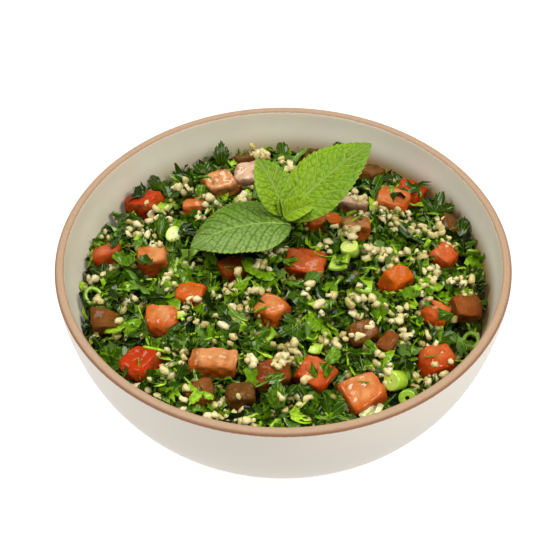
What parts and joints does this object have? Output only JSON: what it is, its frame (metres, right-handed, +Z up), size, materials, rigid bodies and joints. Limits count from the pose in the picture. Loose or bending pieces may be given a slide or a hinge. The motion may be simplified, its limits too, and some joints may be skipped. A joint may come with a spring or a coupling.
{
  "type": "tabbouleh salad",
  "caption": "Chopped parsley salad with tomato dice, bulgur and spring onion heaped in a round stoneware bowl, garnished with a mint sprig.",
  "frame": {"origin": "centre of the bowl's foot, on the surface it stands on", "axes": "+Z up out of the bowl, -Y towards the guest, +X to the guest's right"},
  "size_m": [0.2, 0.2, 0.0983],
  "materials": {
    "stoneware": "satin warm white glaze with a light brown bare band over the lip",
    "salad": "oiled chopped parsley with tomato dice, bulgur grains and spring onion",
    "mint": "fresh green leaf, deeply veined, with a soft sheen"
  },
  "bodies": {
    "root": {"bowl": "stoneware", "salad": "salad", "mint_sprig": "mint"}
  },
  "joints": []
}
